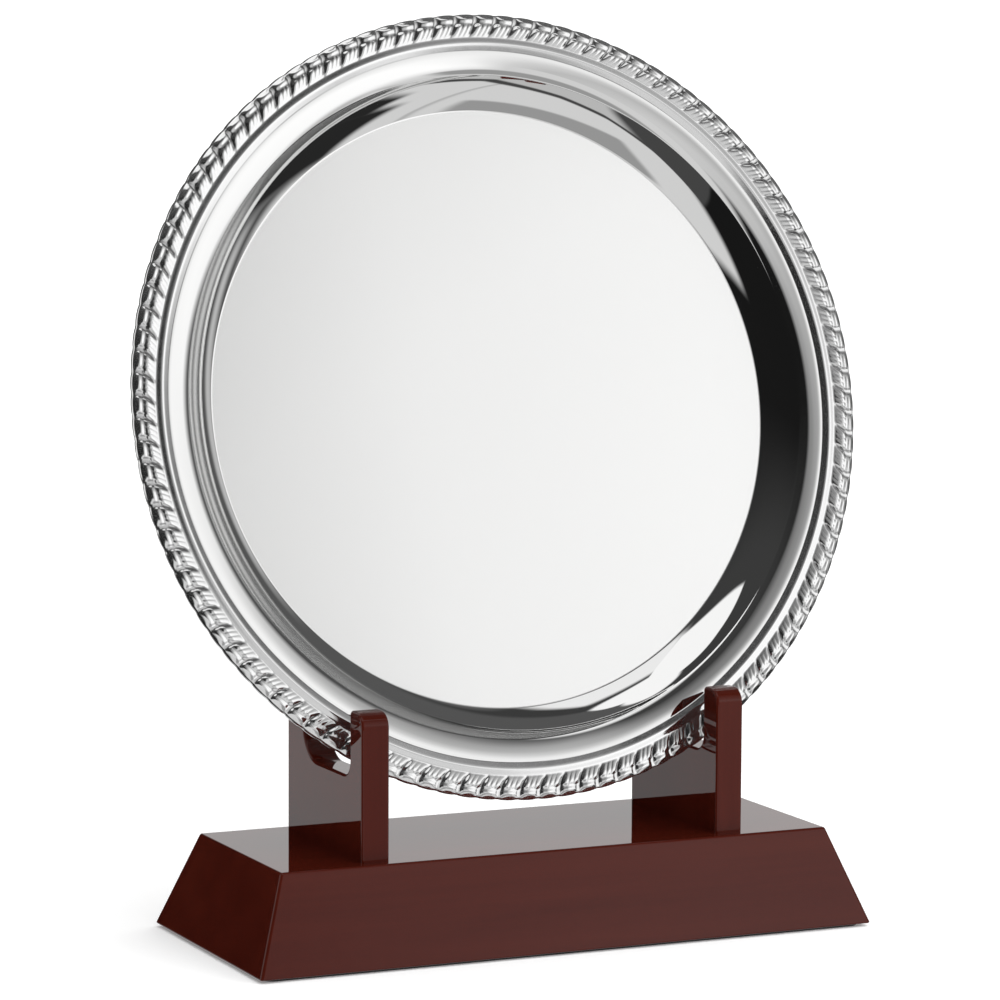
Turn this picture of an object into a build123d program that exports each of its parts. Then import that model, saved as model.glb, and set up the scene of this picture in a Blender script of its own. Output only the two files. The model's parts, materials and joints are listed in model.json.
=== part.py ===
"""A round silver salver with a gadroon border, standing in a lacquered wooden stand.

Frame: +X to the viewer's right along the plinth, +Y to the back, +Z up.
The origin is the middle of the underside, on the surface that the stand rests on.
All lengths are in millimetres and all angles in degrees.
"""

import os
from math import cos, hypot, radians, sin

from build123d import *

# Plinth: a block with four sloping sides, on a thin baize pad
BASE_WIDTH = 212.4
BASE_DEPTH = 92.4
BASE_TOP_Z = 31.5
BASE_SLOPE_INSET = 11.2
BASE_ARRIS = 1.0
BASE_FOOT_ARRIS = 0.4
FELT_THICKNESS = 1.0
FELT_INSET = 2.5
FELT_CORNER = 4.0

# Uprights: two boards that stand across the plinth, each with a notch for the rim
BOARD_CENTRE_X = 61.8
BOARD_THICKNESS = 9.3
BOARD_FRONT_Y = -30.9
BOARD_BACK_Y = 30.3
BOARD_ARRIS = 0.8
FINGER_DEPTH = 9.8
FINGER_HEIGHT = 46.6
FINGER_FRONT_RADIUS = 5.0
FINGER_BACK_RADIUS = 1.5
NOTCH_HEIGHT = 25.7
NOTCH_FRONT_RADIUS = 5.0
NOTCH_BACK_RADIUS = 12.0
POST_FRONT_Y = 17.4

# Salver: measured from the plane of its outer edge, which leans back
SALVER_RADIUS = 127.0
SALVER_LEAN = 12.16
SALVER_CENTRE_Y = 8.8
SALVER_CENTRE_Z = 168.7
SHEET = 1.0
BAND_HEIGHT = 1.0
FLOOR_DEPTH = 9.0
FLOOR_RADIUS = 97.0
WALL_BEND_RADIUS = 103.2
WALL_BEND_DEPTH = 6.0
CREASE_RADIUS = 107.4
CREASE_DEPTH = 0.8
BAND_BEND_RADIUS = 111.4
FOOT_CURVE = 1.5
WALL_CURVE = 27.0
CREASE_CURVE = 1.6
BAND_CURVE = 17.2

# Border: a plain inner fillet, a narrow groove, then the crown that the lobes are cut from
BORDER_INNER_RADIUS = 115.0
FILLET_OUTER_RADIUS = 118.2
FILLET_EDGE_HEIGHT = 0.15
FILLET_CROWN_HEIGHT = 0.75
CROWN_INNER_RADIUS = 118.5
CROWN_OUTER_RADIUS = 126.6
CROWN_HEIGHT = 1.9
CROWN_EDGE_HEIGHT = 0.3
LOBE_COUNT = 112
LOBE_TWIST = 1.8
LOBE_GROOVE_RADIUS = 1.0
LOBE_GROOVE_DEPTH = 0.8

# Wood screws, two up into each board
SCREW_Y = 18.0
SCREW_LENGTH = 35.0
SCREW_HEAD_RADIUS = 4.0
SCREW_HEAD_HEIGHT = 2.4
SCREW_CORE_RADIUS = 1.4
SCREW_THREAD_RADIUS = 2.0
SCREW_PITCH = 2.0
SCREW_TIP_HEIGHT = 4.0
SCREW_RECESS_DEPTH = 1.6
SCREW_RECESS_WIDTH = 1.0
SCREW_RECESS_SPAN = 4.2
COUNTERBORE_RADIUS = 4.6
COUNTERBORE_DEPTH = 12.0
CLEARANCE_HOLE_RADIUS = 2.3
PILOT_CLEARANCE = 0.02

# Gap kept between the salver and the stand, which move apart
RUNNING_GAP = 0.3


def salver_plane():
    """The plane of the salver's outer edge, with its normal towards the viewer."""
    lean = radians(SALVER_LEAN)
    centre = (0, SALVER_CENTRE_Y, SALVER_CENTRE_Z)
    return Plane(origin=centre, x_dir=(1, 0, 0), z_dir=(0, -cos(lean), sin(lean)))


def dish_corners():
    """Corners (radius, height) of the dish's front surface, from the axis to the edge."""
    return [
        (0, -FLOOR_DEPTH),
        (FLOOR_RADIUS, -FLOOR_DEPTH),
        (WALL_BEND_RADIUS, -WALL_BEND_DEPTH),
        (CREASE_RADIUS, -CREASE_DEPTH),
        (BAND_BEND_RADIUS, BAND_HEIGHT),
        (SALVER_RADIUS, BAND_HEIGHT),
    ]


def back_normal(start, end):
    """Unit vector square to the line from start to end, towards the dish's back."""
    run = end[0] - start[0]
    rise = end[1] - start[1]
    length = hypot(run, rise)
    return rise / length, -run / length


def parallel_corners(corners, distance):
    """The corners of the line that runs behind the given one at the given distance."""
    normals = [back_normal(start, end) for start, end in zip(corners, corners[1:])]
    before = [normals[0]] + normals
    after = normals + [normals[-1]]
    moved = []
    for (x, y), first, second in zip(corners, before, after):
        reach = distance / (1 + first[0] * second[0] + first[1] * second[1])
        moved.append((x + reach * (first[0] + second[0]), y + reach * (first[1] + second[1])))
    return moved


def dish_surface(distance):
    """The dish's front surface moved back by distance, with its bends rounded."""
    corners = parallel_corners(dish_corners(), distance)
    hollow = [FOOT_CURVE + distance, WALL_CURVE + distance]
    crowned = [CREASE_CURVE - distance, BAND_CURVE - distance]
    curves = hollow + crowned
    return FilletPolyline(*corners, radius=curves)


def make_salver_body():
    """One pressed sheet: flat floor, hollow wall, crowned band and flange."""
    front = dish_surface(0)
    back = dish_surface(SHEET)
    axis_line = Line(back @ 0, front @ 0)
    edge_line = Line(front @ 1, back @ 1)
    profile = Plane.XZ * make_face(Curve() + [axis_line, front, edge_line, back])
    return salver_plane().location * revolve(profile, Axis.Z, 360)


def crown_circle():
    """Centre (radius, height) and radius of the arc across the border's crown."""
    half_width = (CROWN_OUTER_RADIUS - CROWN_INNER_RADIUS) / 2
    rise = CROWN_HEIGHT - CROWN_EDGE_HEIGHT
    radius = (half_width**2 + rise**2) / (2 * rise)
    centre = (CROWN_INNER_RADIUS + half_width, BAND_HEIGHT + CROWN_HEIGHT - radius)
    return centre, radius


def border_profile():
    """Cross-section of the border ring before its lobes are cut, on top of the flange."""
    base = BAND_HEIGHT
    fillet_start = (BORDER_INNER_RADIUS, base + FILLET_EDGE_HEIGHT)
    fillet_top = ((BORDER_INNER_RADIUS + FILLET_OUTER_RADIUS) / 2, base + FILLET_CROWN_HEIGHT)
    fillet_end = (FILLET_OUTER_RADIUS, base + FILLET_EDGE_HEIGHT)
    crown_start = (CROWN_INNER_RADIUS, base + CROWN_EDGE_HEIGHT)
    crown_top = ((CROWN_INNER_RADIUS + CROWN_OUTER_RADIUS) / 2, base + CROWN_HEIGHT)
    crown_end = (CROWN_OUTER_RADIUS, base + CROWN_EDGE_HEIGHT)
    edges = [
        Line((BORDER_INNER_RADIUS, base), fillet_start),
        ThreePointArc(fillet_start, fillet_top, fillet_end),
        Line(fillet_end, crown_start),
        ThreePointArc(crown_start, crown_top, crown_end),
        Line(crown_end, (CROWN_OUTER_RADIUS, base)),
        Line((CROWN_OUTER_RADIUS, base), (BORDER_INNER_RADIUS, base)),
    ]
    return Plane.XZ * make_face(Curve() + edges)


def lobe_groove(angle):
    """The cutter between two lobes: a ring that follows the crown on a slant."""
    turned = radians(angle + LOBE_TWIST)
    straight = radians(angle)
    inner = Vector(cos(turned), sin(turned)) * CROWN_INNER_RADIUS
    outer = Vector(cos(straight), sin(straight)) * CROWN_OUTER_RADIUS
    along = (outer - inner).normalized()
    across = Vector(-along.Y, along.X, 0)
    centre, radius = crown_circle()
    middle = (inner + outer) / 2
    major = radius + LOBE_GROOVE_RADIUS - LOBE_GROOVE_DEPTH
    place = Plane(origin=(middle.X, middle.Y, centre[1]), x_dir=along, z_dir=across)
    return place * Torus(major, LOBE_GROOVE_RADIUS)


def make_gadroon_border():
    """The cast ring of slanted lobes that is soldered on the flange."""
    ring = revolve(border_profile(), Axis.Z, 360)
    grooves = [lobe_groove(360 / LOBE_COUNT * lobe) for lobe in range(LOBE_COUNT)]
    return salver_plane().location * (ring - grooves)


def screw_places(side):
    """Places (x, y) of the two screws of the board on side -1 (left) or 1 (right)."""
    return [(side * BOARD_CENTRE_X, -SCREW_Y), (side * BOARD_CENTRE_X, SCREW_Y)]


def screw_head_z():
    """Height of the screws' wide head face, inside its counterbore."""
    return FELT_THICKNESS + COUNTERBORE_DEPTH - SCREW_HEAD_HEIGHT


def screw_hole_outline():
    """Half profile (radius, height) of the counterbore, countersink and clearance hole."""
    head_z = screw_head_z()
    sink_top_z = head_z + COUNTERBORE_RADIUS - CLEARANCE_HOLE_RADIUS
    return [
        (0, FELT_THICKNESS),
        (COUNTERBORE_RADIUS, FELT_THICKNESS),
        (COUNTERBORE_RADIUS, head_z),
        (CLEARANCE_HOLE_RADIUS, sink_top_z),
        (CLEARANCE_HOLE_RADIUS, BASE_TOP_Z),
        (0, BASE_TOP_Z),
    ]


def turned(outline):
    """The solid that a closed half profile (radius, height) makes round the Z axis."""
    return revolve(Plane.XZ * make_face(Polyline(*outline, close=True)), Axis.Z, 360)


def make_base_block():
    """The plinth, with four stepped screw holes up from its underside."""
    bottom = Plane.XY.offset(FELT_THICKNESS) * Rectangle(BASE_WIDTH, BASE_DEPTH)
    top_width = BASE_WIDTH - 2 * BASE_SLOPE_INSET
    top_depth = BASE_DEPTH - 2 * BASE_SLOPE_INSET
    top = Plane.XY.offset(BASE_TOP_Z) * Rectangle(top_width, top_depth)
    block = loft([bottom.face(), top.face()])
    block = fillet(block.edges().group_by(Axis.Z)[1:], BASE_ARRIS)
    block = fillet(block.faces().sort_by(Axis.Z)[0].edges(), BASE_FOOT_ARRIS)
    hole = turned(screw_hole_outline())
    for x, y in screw_places(-1) + screw_places(1):
        block -= Pos(x, y, 0) * hole
    return block


def make_base_felt():
    """The baize pad under the plinth."""
    width = BASE_WIDTH - 2 * FELT_INSET
    depth = BASE_DEPTH - 2 * FELT_INSET
    return extrude(RectangleRounded(width, depth, FELT_CORNER), FELT_THICKNESS)


def post_top_centre():
    """Centre (y, z) and radius of a post's round top, a running gap behind the dish."""
    lean = radians(SALVER_LEAN)
    radius = (BOARD_BACK_Y - POST_FRONT_Y) / 2
    y = POST_FRONT_Y + radius
    behind = FLOOR_DEPTH + SHEET + RUNNING_GAP + radius
    z = SALVER_CENTRE_Z + ((y - SALVER_CENTRE_Y) * cos(lean) - behind) / sin(lean)
    return y, z, radius


def board_outline():
    """Side view of a board in the (y, z) plane: finger, notch and post."""
    low = BASE_TOP_Z
    finger_top = low + FINGER_HEIGHT
    notch = low + NOTCH_HEIGHT
    finger_back = BOARD_FRONT_Y + FINGER_DEPTH
    centre_y, centre_z, radius = post_top_centre()
    start = (BOARD_FRONT_Y, low)
    side = FilletPolyline(
        start,
        (BOARD_FRONT_Y, finger_top),
        (finger_back, finger_top),
        (finger_back, notch),
        (POST_FRONT_Y, notch),
        (POST_FRONT_Y, centre_z),
        radius=[FINGER_FRONT_RADIUS, FINGER_BACK_RADIUS, NOTCH_FRONT_RADIUS, NOTCH_BACK_RADIUS],
    )
    front_end = (POST_FRONT_Y, centre_z)
    back_end = (BOARD_BACK_Y, centre_z)
    cap = ThreePointArc(front_end, (centre_y, centre_z + radius), back_end)
    back = Polyline(back_end, (BOARD_BACK_Y, low), start)
    return Plane.YZ * make_face(Curve() + [side, cap, back])


def make_upright(side):
    """One board, with rounded arrises and pilot holes in its foot."""
    centre_x = side * BOARD_CENTRE_X
    board = Pos(centre_x, 0, 0) * extrude(board_outline(), BOARD_THICKNESS / 2, both=True)
    foot = board.faces().sort_by(Axis.Z)[0]
    foot_edges = foot.edges()
    faces = [board.faces().sort_by(Axis.X)[0], board.faces().sort_by(Axis.X)[-1]]
    rims = [edge for face in faces for edge in face.edges() if edge not in foot_edges]
    board = fillet(rims, BOARD_ARRIS)
    depth = screw_head_z() + SCREW_LENGTH - BASE_TOP_Z + PILOT_CLEARANCE
    radius = SCREW_THREAD_RADIUS + PILOT_CLEARANCE
    pilot = Cylinder(radius, depth, align=(Align.CENTER, Align.CENTER, Align.MIN))
    for x, y in screw_places(side):
        board -= Pos(x, y, BASE_TOP_Z) * pilot
    return board


def screw_outline():
    """Half profile (radius, height) of a wood screw that points up."""
    points = [(0, 0), (SCREW_HEAD_RADIUS, 0), (SCREW_CORE_RADIUS, SCREW_HEAD_HEIGHT)]
    height = SCREW_HEAD_HEIGHT + SCREW_PITCH
    while height < SCREW_LENGTH - SCREW_TIP_HEIGHT - SCREW_PITCH:
        points.append((SCREW_CORE_RADIUS, height))
        points.append((SCREW_THREAD_RADIUS, height + SCREW_PITCH / 2))
        height += SCREW_PITCH
    points.append((SCREW_CORE_RADIUS, height))
    points.append((SCREW_CORE_RADIUS, SCREW_LENGTH - SCREW_TIP_HEIGHT))
    points.append((0, SCREW_LENGTH))
    return points


def make_screw():
    """A countersunk wood screw that points up, with a cross recess in its head."""
    screw = turned(screw_outline())
    low = (Align.CENTER, Align.CENTER, Align.MIN)
    slot = Box(SCREW_RECESS_SPAN, SCREW_RECESS_WIDTH, SCREW_RECESS_DEPTH, align=low)
    return screw - slot - Rot(0, 0, 90) * slot


def make_screws(side):
    """The two screws of the board on one side, as a group of separate solids."""
    head_z = screw_head_z()
    return Compound(children=[Pos(x, y, head_z) * make_screw() for x, y in screw_places(side)])


def main():
    os.makedirs("parts", exist_ok=True)
    nodes = {
        "salver_body": make_salver_body(),
        "gadroon_border": make_gadroon_border(),
        "base_block": make_base_block(),
        "base_felt": make_base_felt(),
        "upright_left": make_upright(-1),
        "upright_right": make_upright(1),
        "screws_left": make_screws(-1),
        "screws_right": make_screws(1),
    }
    for name, shape in nodes.items():
        export_step(shape, f"parts/{name}.step")


main()
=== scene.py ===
"""Looks of a silver salver in its lacquered wooden stand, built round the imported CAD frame."""

import json
import math
import random

import bpy
import numpy as np
from mathutils import Matrix, Quaternion, Vector


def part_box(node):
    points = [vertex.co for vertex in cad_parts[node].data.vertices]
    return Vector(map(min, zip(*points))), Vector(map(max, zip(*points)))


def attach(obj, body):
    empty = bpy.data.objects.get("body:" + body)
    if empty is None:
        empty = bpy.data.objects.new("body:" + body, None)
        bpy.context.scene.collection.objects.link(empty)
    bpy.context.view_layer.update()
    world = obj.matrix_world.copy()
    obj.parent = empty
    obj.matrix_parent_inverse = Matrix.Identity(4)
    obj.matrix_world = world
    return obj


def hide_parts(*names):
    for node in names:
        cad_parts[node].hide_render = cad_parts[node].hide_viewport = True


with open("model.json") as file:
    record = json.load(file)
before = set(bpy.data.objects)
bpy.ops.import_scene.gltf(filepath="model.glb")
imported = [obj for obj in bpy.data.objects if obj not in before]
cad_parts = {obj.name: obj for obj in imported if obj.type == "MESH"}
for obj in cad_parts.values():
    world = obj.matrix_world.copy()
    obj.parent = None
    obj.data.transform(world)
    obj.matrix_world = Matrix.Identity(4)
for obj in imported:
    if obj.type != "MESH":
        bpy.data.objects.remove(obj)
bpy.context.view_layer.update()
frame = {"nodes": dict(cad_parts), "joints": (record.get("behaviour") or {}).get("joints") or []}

MM = 0.001

# Salver: sizes shared with the CAD model, heights measured from the plane of its outer edge
LIFT_AXIS = Vector(frame["joints"][0]["axis"]).normalized()
EDGE_RADIUS = (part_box("salver_body")[1].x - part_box("salver_body")[0].x) / 2
SHEET = 1.0 * MM
BAND_HEIGHT = 1.0 * MM
FLOOR_DEPTH = 9.0 * MM
FLOOR_RADIUS = 97.0 * MM
WALL_BEND_RADIUS = 103.2 * MM
WALL_BEND_DEPTH = 6.0 * MM
CREASE_RADIUS = 107.4 * MM
CREASE_DEPTH = 0.8 * MM
BAND_BEND_RADIUS = 111.4 * MM
FOOT_CURVE = 1.5 * MM
WALL_CURVE = 27.0 * MM
CREASE_CURVE = 1.6 * MM
BAND_CURVE = 17.2 * MM

# Dish mesh
DISH_EDGE_RADIUS = 126.2 * MM  # under the border, which stands past it
DISH_SEGMENTS = 360
BEND_STEPS = 14
EDGE_STEPS = 8

# Border's closed section: a plain bead, lobes on a ledge, the edge rolled to the back;
# (radius, ledge height, lobe height) in millimetres
BORDER_LINE = [
    (114.7, -0.30, 0.0), (114.7, -0.10, 0.0), (114.8, -0.03, 0.0), (115.2, 0.13, 0.0), (115.8, 0.37, 0.0),
    (116.4, 0.61, 0.0), (116.8, 0.76, 0.0), (117.1, 0.82, 0.0), (117.35, 0.82, 0.0), (117.7, 0.75, 0.0),
    (118.2, 0.62, 0.0), (118.7, 0.49, 0.0), (119.0, 0.42, 0.0), (119.3, 0.40, 0.0), (119.7, 0.39, 0.16),
    (120.2, 0.37, 0.34), (120.8, 0.35, 0.52), (121.5, 0.33, 0.72), (122.0, 0.32, 0.82), (122.6, 0.31, 0.85),
    (123.0, 0.30, 0.76), (123.4, 0.30, 0.63), (123.8, 0.30, 0.55), (124.1, 0.30, 0.57), (124.5, 0.30, 0.67),
    (124.9, 0.30, 0.69), (125.2, 0.29, 0.62), (125.55, 0.27, 0.45), (125.9, 0.24, 0.27), (126.2, 0.20, 0.12),
    (126.45, 0.13, 0.0), (126.65, 0.0, 0.0), (126.8, -0.25, 0.0), (126.9, -0.75, 0.0), (126.95, -1.20, 0.0),
    (126.5, -1.33, 0.0), (126.0, -1.25, 0.0), (125.4, -0.90, 0.0),
]

# Across one lobe: a slit, then a broad back with two shallow lines; (phase, height share)
LOBE_LINE = [
    (0.0, 0.0), (0.04, 0.22), (0.08, 0.62), (0.14, 0.88), (0.22, 1.0), (0.31, 0.98),
    (0.35, 0.86), (0.39, 0.98), (0.47, 1.0), (0.56, 0.97), (0.60, 0.84), (0.64, 0.95),
    (0.74, 0.95), (0.83, 0.86), (0.90, 0.60), (0.95, 0.25),
]
LOBE_COUNT = 112
LOBE_TWIST = 1.6  # degrees by which a slit's inner end is turned from its outer end
TWIST_START, TWIST_END = 118.6, 124.6  # radii between which the slits turn
TWIST_BEND = 0.5  # how much more a slit slants at its inner end than on average
KNOB_START, KNOB_END = 122.7, 123.7  # radii between which a lobe turns into its round knob
KNOB_PHASE, KNOB_HALF_WIDTH = 0.46, 0.4  # across one lobe, as in LOBE_LINE
SCALLOP_START, SCALLOP_END = 125.5, 126.2  # radii between which the outer edge's scallops grow
SCALLOP_DEPTH = 0.25  # millimetres
SLIT_DARK_HEIGHT = 0.4  # lobe height, in millimetres, from which its slits are fully dark with tarnish and painted shade
KNOB_DARK_CUT = 0.5  # share of that dark which is missing between the knobs
STRIKE_HEIGHTS = (0.9, 1.05)  # least and most height of a lobe, as a share of its height
STRIKE_SHIFTS = (-0.02, 0.02)  # least and most shift of a lobe, as a share of its width

# Camera, in the photograph's direction
CAMERA_AZIMUTH = -24.80
CAMERA_ELEVATION = 6.54
CAMERA_ROLL = 0.31
CAMERA_DISTANCE = 1.3768
CAMERA_TARGET = Vector((-0.0057, 0.0, 0.1389))
CAMERA_LENS = 155.3
SENSOR = 36.0

# Studio: a plain floor, and light by azimuth from the front (right is positive), in degrees
FLOOR_SIZE = 60.0
FLOOR_GREY = 0.95
FLOOR_GLOW = 0.16
ROOM_LIGHT = [(-180, 1.1), (-100, 0.42), (-60, 0.52), (0, 1.7), (40, 2.0), (90, 1.6), (180, 1.1)]

# What polished surfaces see: edges and levels by azimuth or elevation
ROOM_DARK = 0.009
ROOM_HAZE = 0.035
RIGHT_WALL_LIGHT = 0.09
TABLE_LIGHT = 0.66
TABLE_EDGE_LIGHT = 0.06
BELOW_TABLE_LIGHT = 0.5
CEILING_LIGHT = 0.98
TABLE_EDGE = [  # (azimuth, elevation)
    (-180, -90), (-120, -90), (-34, -28), (-24, -43), (-10, -53),
    (10, -58), (50, -60), (80, -50), (100, -80),
]
KEY_ACROSS = [  # (azimuth, level)
    (-8, 0.0), (-1, 0.56), (9, 0.58), (19, 0.49), (22, 0.62), (25, 0.91),
    (28, 1.0), (56, 0.93), (60, 0.65), (66, 0.2), (70, 0.0),
]
KEY_UPWARD = [  # (elevation, level)
    (0, 1.08), (10, 1.07), (16, 1.0), (20, 0.95), (22.5, 0.84),
    (26, 0.67), (32, 0.48), (40, 0.38), (50, 0.17), (58, 0.0),
]
KEY_LEAN = 0.5  # degrees of elevation for each degree to the left of KEY_LEAN_START
KEY_LEAN_START = 30
CEILING_EDGE = [  # (azimuth, elevation)
    (-180, 80), (-100, 82), (-75, 70), (-56, 56), (-5, 56),
    (2, 74), (66, 76), (100, 84), (180, 80),
]

# Flat panels: (azimuth range, elevation range, softness of both edges, level)
BACK_PANELS = [
    ((112, 172), (-3, 24), (6, 6), 0.9),
    ((-138, -92), (-15, 42), (6, 6), 0.8),
]
FRONT_PANELS = [
    ((72, 81), (-14, 26), (4, 7), 0.5),
    ((-8, 32), (-36.5, -17), (2, 1.5), 0.32),
    ((51, 92), (-38, -16), (3, 3), 0.02),
    ((61, 88), (-46, -34), (3, 3), 0.02),
]
HIGH_PANEL = ((-6, 46), (54, 71), (4, 2), 0.88)
TABLE_PARTS = [
    ((-32, 40), (-95, -5), (3, 3), TABLE_LIGHT),
    ((40, 220), (-95, -17), (1, 3), TABLE_LIGHT),
    ((-220, -152), (-95, -17), (6, 3), TABLE_LIGHT),
    ((-168, -140), (-95, -8.6), (8, 1.2), 0.75),
]

# Looks
SILVER_TONE = (0.93, 0.93, 0.925)
FLOOR_TONE = (0.88, 0.88, 0.875)
FLOOR_HAZE = 0.18  # share of the dish floor's polish lost to fine scratches
FACING_START, FACING_END = 0.955, 0.985  # how straight to front or back a face looks, where its coat thins
EDGE_COAT = 0.42  # coat weight on faces that look straight to the front or back
WOOD_TONES = [  # (grain value, colour)
    (0.30, (0.041, 0.0046, 0.0022)),
    (0.55, (0.053, 0.0066, 0.0032)),
    (0.78, (0.065, 0.0090, 0.0044)),
]


# ---------------------------------------------------------------- meshes

def new_mesh(name, points, faces, smooth=True):
    mesh = bpy.data.meshes.new(name)
    mesh.from_pydata(points, [], faces)
    mesh.update()
    mesh.polygons.foreach_set("use_smooth", [smooth] * len(mesh.polygons))
    piece = bpy.data.objects.new(name, mesh)
    bpy.context.scene.collection.objects.link(piece)
    return piece


def mark_points(piece, name, values):
    """Gives each point of the mesh a value that its material can read."""
    mark = piece.data.attributes.new(name, "FLOAT", "POINT")
    mark.data.foreach_set("value", values)


def ring_faces(rings, across, closed=False):
    """Faces between neighbouring rings of points; closed also joins the last ring to the first."""
    faces = []
    for ring in range(rings if closed else rings - 1):
        first, second = ring * across, (ring + 1) % rings * across
        for here in range(across):
            beside = (here + 1) % across
            faces.append((first + here, second + here, second + beside, first + beside))
    return faces


def lathe(name, section, segments):
    """A mesh turned round the z axis from an open section whose two ends lie on the axis."""
    radii = np.array([p[0] for p in section[1:-1]])
    heights = np.array([p[1] for p in section[1:-1]])
    angles = np.arange(segments) * 2 * math.pi / segments
    x = radii[:, None] * np.cos(angles)
    y = radii[:, None] * np.sin(angles)
    z = np.repeat(heights[:, None], segments, 1)
    ring_points = np.stack([x, y, z], -1).reshape(-1, 3)
    points = [tuple(p) for p in ring_points]
    points += [(0, 0, section[0][1]), (0, 0, section[-1][1])]
    first_pole, last_pole = len(points) - 2, len(points) - 1
    faces = ring_faces(len(radii), segments)
    last_ring = (len(radii) - 1) * segments
    for here in range(segments):
        beside = (here + 1) % segments
        faces.append((first_pole, here, beside))
        faces.append((last_pole, last_ring + beside, last_ring + here))
    return new_mesh(name, points, faces)


# ---------------------------------------------------------------- salver's own frame

def salver_place():
    """Matrix from the salver's frame (x right, y up its face, z out of its face) to the row frame."""
    up = LIFT_AXIS
    right = Vector((1, 0, 0))
    out = right.cross(up)
    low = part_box("salver_body")[0]
    centre_z = low.z + EDGE_RADIUS * up.z
    centre_y = low.y + EDGE_RADIUS * up.y - BAND_HEIGHT * out.y
    centre = Vector((0, centre_y, centre_z))
    turn = Matrix((right, up, out)).transposed().to_4x4()
    return Matrix.Translation(centre) @ turn


def put_on_salver(piece):
    """Moves the mesh from the salver's own frame into the row frame."""
    piece.data.transform(salver_place())
    return piece


# ---------------------------------------------------------------- dish

def parallel_corners(corners, distance):
    """The corners of the line that runs behind the given (radius, height) line."""
    normals = []
    for (x0, y0), (x1, y1) in zip(corners, corners[1:]):
        length = math.hypot(x1 - x0, y1 - y0)
        normals.append(((y1 - y0) / length, (x0 - x1) / length))
    moved = []
    for (x, y), a, b in zip(corners, [normals[0]] + normals, normals + [normals[-1]]):
        reach = distance / (1 + a[0] * b[0] + a[1] * b[1])
        moved.append((x + reach * (a[0] + b[0]), y + reach * (a[1] + b[1])))
    return moved


def rounded_line(corners, radii, steps):
    """The line through the corners, with each inner corner rounded by an arc of points."""
    points = [Vector(corners[0])]
    for before, corner, after, radius in zip(corners, corners[1:], corners[2:], radii):
        corner = Vector(corner)
        towards = (Vector(before) - corner).normalized()
        away = (Vector(after) - corner).normalized()
        half = towards.angle(away) / 2
        centre = corner + (towards + away).normalized() * (radius / math.sin(half))
        first = corner + towards * (radius / math.tan(half)) - centre
        last = corner + away * (radius / math.tan(half)) - centre
        spread = first.angle(last)
        for step in range(steps + 1):
            share = step / steps
            first_part = math.sin((1 - share) * spread) / math.sin(spread)
            last_part = math.sin(share * spread) / math.sin(spread)
            points.append(centre + first * first_part + last * last_part)
    points.append(Vector(corners[-1]))
    return points


def dish_section():
    """(radius, height) section of the dish: front from axis to edge, then back from edge to axis."""
    corners = [
        (0, -FLOOR_DEPTH),
        (FLOOR_RADIUS, -FLOOR_DEPTH),
        (WALL_BEND_RADIUS, -WALL_BEND_DEPTH),
        (CREASE_RADIUS, -CREASE_DEPTH),
        (BAND_BEND_RADIUS, BAND_HEIGHT),
        (DISH_EDGE_RADIUS, BAND_HEIGHT),
    ]
    front_radii = [FOOT_CURVE, WALL_CURVE, CREASE_CURVE, BAND_CURVE]
    back_radii = [FOOT_CURVE + SHEET, WALL_CURVE + SHEET, CREASE_CURVE - SHEET, BAND_CURVE - SHEET]
    front = rounded_line(corners, front_radii, BEND_STEPS)
    back = rounded_line(parallel_corners(corners, SHEET), back_radii, BEND_STEPS)
    round_edge = SHEET / 2
    edge_centre = Vector((DISH_EDGE_RADIUS - round_edge, BAND_HEIGHT - round_edge))
    edge = []
    for step in range(EDGE_STEPS + 1):
        angle = math.pi / 2 - math.pi * step / EDGE_STEPS
        edge.append(edge_centre + round_edge * Vector((math.cos(angle), math.sin(angle))))
    return front[:-1] + edge + back[:-1][::-1]


# ---------------------------------------------------------------- gadroon border

def smooth_step(value):
    value = min(max(value, 0.0), 1.0)
    return value * value * (3 - 2 * value)


def knob_blend(radius):
    """How far the lobe has turned into its knob at a radius, from 0 to 1."""
    return smooth_step((radius - KNOB_START) / (KNOB_END - KNOB_START))


def knob_height(phase):
    """Height share of the round knob that ends each lobe."""
    swell = 1 - ((phase - KNOB_PHASE) / KNOB_HALF_WIDTH) ** 2
    return math.sqrt(max(swell, 0.0))


def border_points():
    """The border's points in the salver's frame, ring by ring, and how much tarnish and painted shade each
    gets from lying deep in a slit.
    """
    random.seed(7)
    strikes = [(random.uniform(*STRIKE_HEIGHTS), random.uniform(*STRIKE_SHIFTS)) for _ in range(LOBE_COUNT)]
    pitch = 2 * math.pi / LOBE_COUNT
    points, slit_tarnish_and_shade = [], []
    for radius, ledge, lobe_height in BORDER_LINE:
        turned = min(max((radius - TWIST_START) / (TWIST_END - TWIST_START), 0.0), 1.0)
        twist = math.radians(LOBE_TWIST) * (1 - turned * (1 + TWIST_BEND * (1 - turned)))
        knob = knob_blend(radius)
        scallop = SCALLOP_DEPTH * smooth_step((radius - SCALLOP_START) / (SCALLOP_END - SCALLOP_START))
        dark = min(lobe_height / SLIT_DARK_HEIGHT, 1.0) * (1 - KNOB_DARK_CUT * knob)
        for lobe, (strike, shift) in enumerate(strikes):
            for phase, lobe_share in LOBE_LINE:
                share = lobe_share * (1 - knob) + knob_height(phase) * knob
                height = BAND_HEIGHT + (ledge + lobe_height * share * strike) * MM
                reach = (radius - scallop * (1 - share)) * MM
                angle = pitch * (lobe + phase + shift * min(lobe_height, 1.0)) + twist
                points.append((reach * math.cos(angle), reach * math.sin(angle), height))
                # Painted shade and tarnish, darker the deeper a point lies in its slit
                slit_tarnish_and_shade.append((1 - share) * dark)
    return points, slit_tarnish_and_shade


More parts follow.
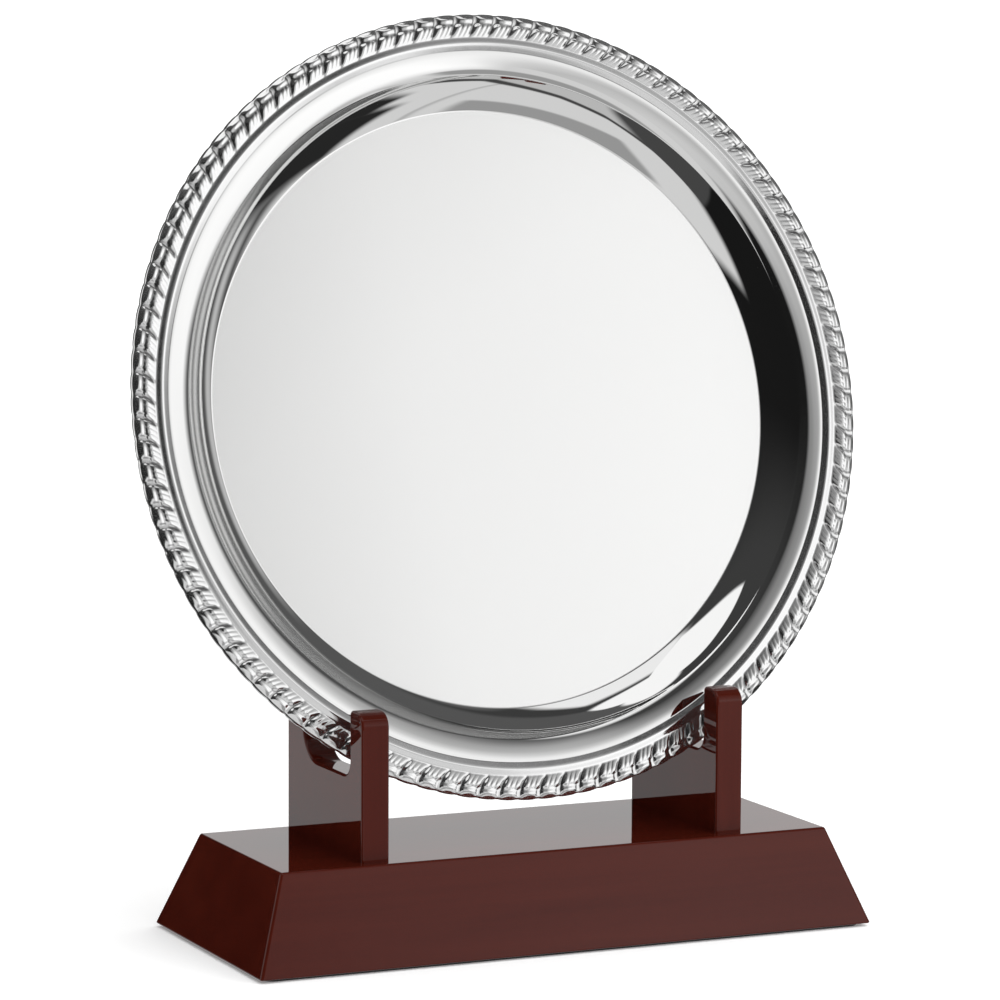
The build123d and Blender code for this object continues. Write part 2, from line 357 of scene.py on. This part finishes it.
def make_gadroon_border():
    """Slanted lobes with round ends round the rim, die-struck, with slightly uneven strikes."""
    points, slit_tarnish_and_shade = border_points()
    faces = ring_faces(len(BORDER_LINE), LOBE_COUNT * len(LOBE_LINE), closed=True)
    piece = new_mesh("gadroon_lobes", points, faces)
    # The slits are darkened partly by tarnish and partly by painted shade
    mark_points(piece, "tarnish_and_shade", slit_tarnish_and_shade)
    return put_on_salver(piece)


# ---------------------------------------------------------------- materials

def new_material(name):
    """A material with one Principled shader, and its node tree."""
    material = bpy.data.materials.new(name)
    material.use_nodes = True
    nodes = material.node_tree.nodes
    return material, nodes, material.node_tree.links, nodes["Principled BSDF"]


def texture(nodes, links, kind, scale, stretch=(1, 1, 1), **settings):
    """A texture node on object coordinates, stretched along the given directions."""
    place = nodes.new("ShaderNodeTexCoord")
    mapping = nodes.new("ShaderNodeMapping")
    mapping.inputs["Scale"].default_value = stretch
    links.new(place.outputs["Object"], mapping.inputs["Vector"])
    node = nodes.new("ShaderNodeTex" + kind)
    node.inputs["Scale"].default_value = scale
    for key, value in settings.items():
        node.inputs[key].default_value = value
    links.new(mapping.outputs["Vector"], node.inputs["Vector"])
    return node


def ramp(nodes, links, source, stops):
    """A colour ramp from the source socket, with (position, colour) stops."""
    node = nodes.new("ShaderNodeValToRGB")
    elements = node.color_ramp.elements
    while len(elements) < len(stops):
        elements.new(0.5)
    for element, (position, colour) in zip(elements, stops):
        element.position = position
        element.color = (*colour, 1)
    links.new(source, node.inputs["Fac"])
    return node.outputs["Color"]


def bump(nodes, links, height, strength, distance):
    node = nodes.new("ShaderNodeBump")
    node.inputs["Strength"].default_value = strength
    node.inputs["Distance"].default_value = distance
    links.new(height, node.inputs["Height"])
    return node.outputs["Normal"]


def mark_value(nodes, name):
    """The value that mark_points gave to the points of the mesh."""
    node = nodes.new("ShaderNodeAttribute")
    node.attribute_name = name
    return node.outputs["Fac"]


def grey(value):
    return (value, value, value)


def mark_flat(piece):
    """Marks the flat floor of the dish, whose polish is hazed by fine wiping scratches."""
    inside = salver_place().inverted()
    flat = []
    for vertex in piece.data.vertices:
        spot = inside @ vertex.co
        flat.append(1.0 if math.hypot(spot.x, spot.y) < FLOOR_RADIUS - 0.1 * MM else 0.0)
    mark_points(piece, "flat", flat)


def silver_material():
    """Mirror-polished silver plate with faint smudges, slightly hazed on the flat floor."""
    material, nodes, links, shader = new_material("silver_plate")
    flat = mark_value(nodes, "flat")
    metal = ramp(nodes, links, flat, [(0.0, grey(1.0)), (1.0, grey(1 - FLOOR_HAZE))])
    links.new(metal, shader.inputs["Metallic"])
    colour = ramp(nodes, links, flat, [(0.0, SILVER_TONE), (1.0, FLOOR_TONE)])
    links.new(colour, shader.inputs["Base Color"])
    smudge = texture(nodes, links, "Noise", 18, Detail=6, Roughness=0.6)
    rough = ramp(nodes, links, smudge.outputs["Fac"], [(0.35, grey(0.018)), (0.75, grey(0.05))])
    links.new(rough, shader.inputs["Roughness"])
    return material


def border_material():
    """Polished silver with dark tarnish and painted shade in the slits."""
    material, nodes, links, shader = new_material("silver_border")
    shader.inputs["Metallic"].default_value = 0.985
    # Base colour darker deep in the slits: partly tarnish, partly painted shade
    stops = [(0.0, grey(0.93)), (0.5, grey(0.85)), (0.8, grey(0.42)), (1.0, grey(0.16))]
    colour = ramp(nodes, links, mark_value(nodes, "tarnish_and_shade"), stops)
    links.new(colour, shader.inputs["Base Color"])
    smudge = texture(nodes, links, "Noise", 300, Detail=4, Roughness=0.6)
    rough = ramp(nodes, links, smudge.outputs["Fac"], [(0.3, grey(0.06)), (0.75, grey(0.14))])
    links.new(rough, shader.inputs["Roughness"])
    return material


def wood_material(name, stretch):
    """Dark mahogany under gloss lacquer, duller on the boards' narrow front and back edges."""
    material, nodes, links, shader = new_material(name)
    grain = texture(nodes, links, "Noise", 55, stretch, Detail=8, Roughness=0.62, Distortion=0.4)
    colour = ramp(nodes, links, grain.outputs["Fac"], WOOD_TONES)
    links.new(colour, shader.inputs["Base Color"])
    shader.inputs["Roughness"].default_value = 0.5
    shader.inputs["Specular IOR Level"].default_value = 0.0
    surface = nodes.new("ShaderNodeNewGeometry")
    axes = nodes.new("ShaderNodeSeparateXYZ")
    links.new(surface.outputs["Normal"], axes.inputs["Vector"])
    facing = nodes.new("ShaderNodeMath")
    facing.operation = "ABSOLUTE"
    links.new(axes.outputs["Y"], facing.inputs[0])
    thinning = [(FACING_START, grey(1.0)), (FACING_END, grey(EDGE_COAT))]
    coat = ramp(nodes, links, facing.outputs["Value"], thinning)
    links.new(coat, shader.inputs["Coat Weight"])
    shader.inputs["Coat Roughness"].default_value = 0.02
    shader.inputs["Coat IOR"].default_value = 1.45
    peel = texture(nodes, links, "Noise", 140, Detail=2)
    links.new(bump(nodes, links, peel.outputs["Fac"], 0.03, 0.0004), shader.inputs["Coat Normal"])
    return material


def baize_material():
    """Black felted baize."""
    material, nodes, links, shader = new_material("baize")
    fibres = texture(nodes, links, "Noise", 1600, Detail=6, Roughness=0.7)
    colour = ramp(nodes, links, fibres.outputs["Fac"], [(0.3, grey(0.012)), (0.7, grey(0.045))])
    links.new(colour, shader.inputs["Base Color"])
    shader.inputs["Roughness"].default_value = 0.95
    shader.inputs["Sheen Weight"].default_value = 0.4
    links.new(bump(nodes, links, fibres.outputs["Fac"], 0.6, 0.0004), shader.inputs["Normal"])
    return material


def steel_material():
    """Zinc-plated steel of the wood screws."""
    material, nodes, links, shader = new_material("zinc_steel")
    shader.inputs["Metallic"].default_value = 1.0
    mottle = texture(nodes, links, "Noise", 500, Detail=5)
    colour = ramp(nodes, links, mottle.outputs["Fac"], [(0.3, (0.50, 0.50, 0.46)), (0.7, (0.66, 0.66, 0.62))])
    links.new(colour, shader.inputs["Base Color"])
    shader.inputs["Roughness"].default_value = 0.32
    return material


def dress(piece, material):
    piece.data.materials.clear()
    piece.data.materials.append(material)


# ---------------------------------------------------------------- stage

def place_camera():
    """The camera, at the photograph's viewing angle."""
    azimuth = math.radians(CAMERA_AZIMUTH)
    elevation = math.radians(CAMERA_ELEVATION)
    back = Vector((
        math.sin(azimuth) * math.cos(elevation),
        -math.cos(azimuth) * math.cos(elevation),
        math.sin(elevation),
    ))
    data = bpy.data.cameras.new("camera")
    data.lens = CAMERA_LENS
    data.sensor_width = SENSOR
    data.clip_start = 0.05
    data.clip_end = 50
    camera = bpy.data.objects.new("camera", data)
    bpy.context.scene.collection.objects.link(camera)
    camera.location = CAMERA_TARGET + back * CAMERA_DISTANCE
    camera.rotation_mode = "QUATERNION"
    roll = Quaternion((0, 0, 1), math.radians(CAMERA_ROLL))
    camera.rotation_quaternion = (-back).to_track_quat("-Z", "Y") @ roll
    bpy.context.scene.camera = camera


class Sky:
    """Builds the world's light as soft-edged regions of azimuth and elevation, in degrees."""

    def __init__(self, tree):
        self.nodes, self.links = tree.nodes, tree.links
        place = self.nodes.new("ShaderNodeTexCoord")
        axes = self.nodes.new("ShaderNodeSeparateXYZ")
        self.links.new(place.outputs["Generated"], axes.inputs["Vector"])
        forward = self.math("MULTIPLY", axes.outputs["Y"], -1.0)
        turn = self.math("ARCTAN2", axes.outputs["X"], forward)
        rise = self.math("ARCSINE", axes.outputs["Z"])
        self.azimuth = self.math("MULTIPLY", turn, math.degrees(1))
        self.elevation = self.math("MULTIPLY", rise, math.degrees(1))

    def math(self, operation, *values):
        node = self.nodes.new("ShaderNodeMath")
        node.operation = operation
        for socket, value in zip(node.inputs, values):
            if isinstance(value, (int, float)):
                socket.default_value = value
            else:
                self.links.new(value, socket)
        return node.outputs["Value"]

    def step(self, value, start, end):
        """Smooth step from 0 at start to 1 at end."""
        node = self.nodes.new("ShaderNodeMapRange")
        node.interpolation_type = "SMOOTHSTEP"
        node.inputs["From Min"].default_value = start
        node.inputs["From Max"].default_value = end
        self.links.new(value, node.inputs["Value"])
        return node.outputs["Result"]

    def curve(self, value, points):
        """Value read off straight lines between the (angle, level) points."""
        low, high = points[0][0], points[-1][0]
        node = self.nodes.new("ShaderNodeMapRange")
        node.inputs["From Min"].default_value = low
        node.inputs["From Max"].default_value = high
        self.links.new(value, node.inputs["Value"])
        top = max(level for _, level in points)
        stops = [((angle - low) / (high - low), grey(level / top)) for angle, level in points]
        shape = ramp(self.nodes, self.links, node.outputs["Result"], stops)
        return self.math("MULTIPLY", shape, top)

    def region(self, azimuths, elevations, soft):
        """Mask of the region between two azimuths and two elevations, with soft edges."""
        mask = 1.0
        for value, (low, high), edge in zip((self.azimuth, self.elevation), (azimuths, elevations), soft):
            rise = self.step(value, low - edge, low + edge)
            fall = self.math("SUBTRACT", 1.0, self.step(value, high - edge, high + edge))
            mask = self.math("MULTIPLY", self.math("MULTIPLY", rise, fall), mask)
        return mask

    def over(self, below, mask, level):
        """The level laid over what is below, where the mask is 1."""
        kept = self.math("MULTIPLY", below, self.math("SUBTRACT", 1.0, mask))
        return self.math("ADD", kept, self.math("MULTIPLY", mask, level))

    def panels(self, light, panels):
        """The panels laid over the light, in order."""
        for azimuths, elevations, soft, level in panels:
            light = self.over(light, self.region(azimuths, elevations, soft), level)
        return light


def mirror_room(sky):
    """What polished surfaces reflect: a dark room, a key wall, a pale table and a ceiling light."""
    azimuth, elevation = sky.azimuth, sky.elevation
    light = sky.math("MULTIPLY_ADD", sky.step(elevation, 15, 50), ROOM_HAZE, ROOM_DARK)
    right = sky.math("SUBTRACT", sky.step(azimuth, 62, 72), sky.step(azimuth, 150, 175))
    right = sky.math("MULTIPLY", right, sky.step(elevation, -21, -14))
    light = sky.over(light, right, RIGHT_WALL_LIGHT)
    light = sky.panels(light, TABLE_PARTS + BACK_PANELS)

    # Key wall: its top edge drops towards the left
    beside = sky.math("SUBTRACT", KEY_LEAN_START, azimuth)
    lean = sky.math("MULTIPLY", sky.math("MAXIMUM", beside, 0), KEY_LEAN)
    tilted = sky.math("ADD", elevation, lean)
    across = sky.curve(azimuth, KEY_ACROSS)
    upward = sky.curve(tilted, KEY_UPWARD)
    key = sky.math("MAXIMUM", light, sky.math("MULTIPLY", across, upward))
    light = sky.over(light, sky.step(elevation, -22, -8), key)
    light = sky.panels(light, FRONT_PANELS)

    # Table's edge, what is below it, a high panel and the ceiling
    depth = sky.math("SUBTRACT", sky.curve(azimuth, TABLE_EDGE), elevation)
    light = sky.over(light, sky.step(depth, -1, 1), TABLE_EDGE_LIGHT)
    below = sky.math("MULTIPLY", sky.step(depth, 3, 5), sky.step(azimuth, -24, -14))
    light = sky.over(light, below, BELOW_TABLE_LIGHT)
    light = sky.panels(light, [HIGH_PANEL])
    above = sky.math("SUBTRACT", elevation, sky.curve(azimuth, CEILING_EDGE))
    return sky.over(light, sky.step(above, -1, 1), CEILING_LIGHT)


def make_world():
    """Soft light for sight and shading, and the mirror room for reflections."""
    world = bpy.data.worlds.new("studio")
    world.use_nodes = True
    nodes, links = world.node_tree.nodes, world.node_tree.links
    sky = Sky(world.node_tree)
    room = nodes.new("ShaderNodeBackground")
    links.new(mirror_room(sky), room.inputs["Color"])
    light = nodes["Background"]
    links.new(sky.curve(sky.azimuth, ROOM_LIGHT), light.inputs["Color"])
    path = nodes.new("ShaderNodeLightPath")
    mix = nodes.new("ShaderNodeMixShader")
    links.new(path.outputs["Is Glossy Ray"], mix.inputs["Fac"])
    links.new(light.outputs["Background"], mix.inputs[1])
    links.new(room.outputs["Background"], mix.inputs[2])
    links.new(mix.outputs["Shader"], nodes["World Output"].inputs["Surface"])
    bpy.context.scene.world = world


def make_floor():
    """A plain pale floor, left out of mirror reflections, where the mirror room stands for it."""
    size = FLOOR_SIZE
    corners = [(-size, -size, 0), (size, -size, 0), (size, size, 0), (-size, size, 0)]
    floor = new_mesh("studio_floor", corners, [(0, 1, 2, 3)], smooth=False)
    material, nodes, links, shader = new_material("pale_floor")
    shader.inputs["Base Color"].default_value = (*grey(FLOOR_GREY), 1)
    shader.inputs["Roughness"].default_value = 1.0
    shader.inputs["Specular IOR Level"].default_value = 0.0
    shader.inputs["Emission Color"].default_value = (1, 1, 1, 1)
    shader.inputs["Emission Strength"].default_value = FLOOR_GLOW
    dress(floor, material)
    floor.visible_glossy = False


# ---------------------------------------------------------------- the object

salver = put_on_salver(lathe("salver_dish", dish_section(), DISH_SEGMENTS))
mark_flat(salver)
dress(salver, silver_material())
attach(salver, "salver")
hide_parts("salver_body")

border = make_gadroon_border()
dress(border, border_material())
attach(border, "salver")
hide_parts("gadroon_border")

plinth_wood = wood_material("mahogany_plinth", (0.06, 1, 1))
board_wood = wood_material("mahogany_board", (1, 1, 0.06))
baize = baize_material()
steel = steel_material()
looks = {
    "base_block": plinth_wood,
    "upright_left": board_wood,
    "upright_right": board_wood,
    "base_felt": baize,
    "screws_left": steel,
    "screws_right": steel,
}
for name, material in looks.items():
    dress(frame["nodes"][name], material)

make_world()
make_floor()
place_camera()
bpy.context.scene.view_settings.view_transform = "Standard"
